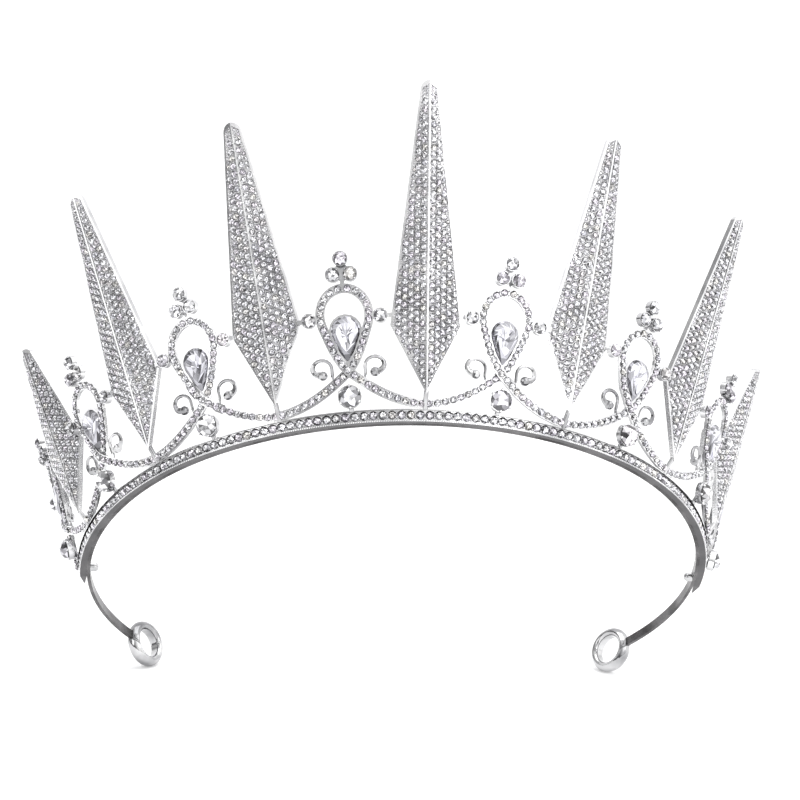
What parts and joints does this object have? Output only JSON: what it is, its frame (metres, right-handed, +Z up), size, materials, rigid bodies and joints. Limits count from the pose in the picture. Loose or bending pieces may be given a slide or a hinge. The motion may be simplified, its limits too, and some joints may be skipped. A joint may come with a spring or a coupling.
{
  "type": "bridal tiara",
  "caption": "C-shaped headband tiara with tall folded pave spires, teardrop loop ornaments holding pear crystals, and ring eyes on the ends of its spring arms.",
  "frame": {"origin": "centre of the headband's front arc, the middle of the head opening, in the plane of the band's lower edge", "axes": "+Z up as worn, -Y the way the wearer faces, +X to the right of a viewer in front; the band's plane slopes 42 degrees down to the back"},
  "size_m": [0.1926, 0.0921, 0.1584],
  "materials": {
    "headband_steel": "smooth plated spring strip, darker inside",
    "bright_rhodium": "bright polished plating",
    "plated_alloy": "bright silver plated casting",
    "solder": "dull solder",
    "rhinestone": "faceted clear rhinestone with a mirrored back",
    "pear_crystal": "faceted clear pear crystal with a mirrored back"
  },
  "bodies": {
    "root": {"end_rivets": "bright_rhodium", "front_casting_1": "plated_alloy", "front_casting_2": "plated_alloy", "front_casting_3": "plated_alloy", "front_casting_4": "plated_alloy", "front_stones_1": "rhinestone", "front_stones_2": "rhinestone", "front_stones_3": "rhinestone", "front_stones_4": "rhinestone", "headband_strip": "headband_steel", "link_settings": "plated_alloy", "link_stones": "rhinestone", "ornament_frame_1": "plated_alloy", "ornament_frame_2": "plated_alloy", "ornament_frame_3": "plated_alloy", "ornament_frame_4": "plated_alloy", "ornament_frame_5": "plated_alloy", "ornament_frame_6": "plated_alloy", "ornament_frame_7": "plated_alloy", "ornament_frame_8": "plated_alloy", "ornament_stones_1": "rhinestone", "ornament_stones_2": "rhinestone", "ornament_stones_3": "rhinestone", "ornament_stones_4": "rhinestone", "ornament_stones_5": "rhinestone", "ornament_stones_6": "rhinestone", "ornament_stones_7": "rhinestone", "ornament_stones_8": "rhinestone", "pear_crystal_1": "pear_crystal", "pear_crystal_2": "pear_crystal", "pear_crystal_3": "pear_crystal", "pear_crystal_4": "pear_crystal", "pear_crystal_5": "pear_crystal", "pear_crystal_6": "pear_crystal", "pear_crystal_7": "pear_crystal", "pear_crystal_8": "pear_crystal", "pear_settings": "plated_alloy", "ring_eye_left": "bright_rhodium", "ring_eye_right": "bright_rhodium", "round_settings": "plated_alloy", "round_stones": "rhinestone", "scroll_curls": "plated_alloy", "solder_fillets": "solder", "solder_posts": "plated_alloy", "spire_1": "plated_alloy", "spire_2": "plated_alloy", "spire_3": "plated_alloy", "spire_4": "plated_alloy", "spire_5": "plated_alloy", "spire_6": "plated_alloy", "spire_7": "plated_alloy", "spire_stones_1": "rhinestone", "spire_stones_2": "rhinestone", "spire_stones_3": "rhinestone", "spire_stones_4": "rhinestone", "spire_stones_5": "rhinestone", "spire_stones_6": "rhinestone", "spire_stones_7": "rhinestone", "trefoil_settings": "plated_alloy", "trefoil_stones": "rhinestone"}
  },
  "joints": []
}
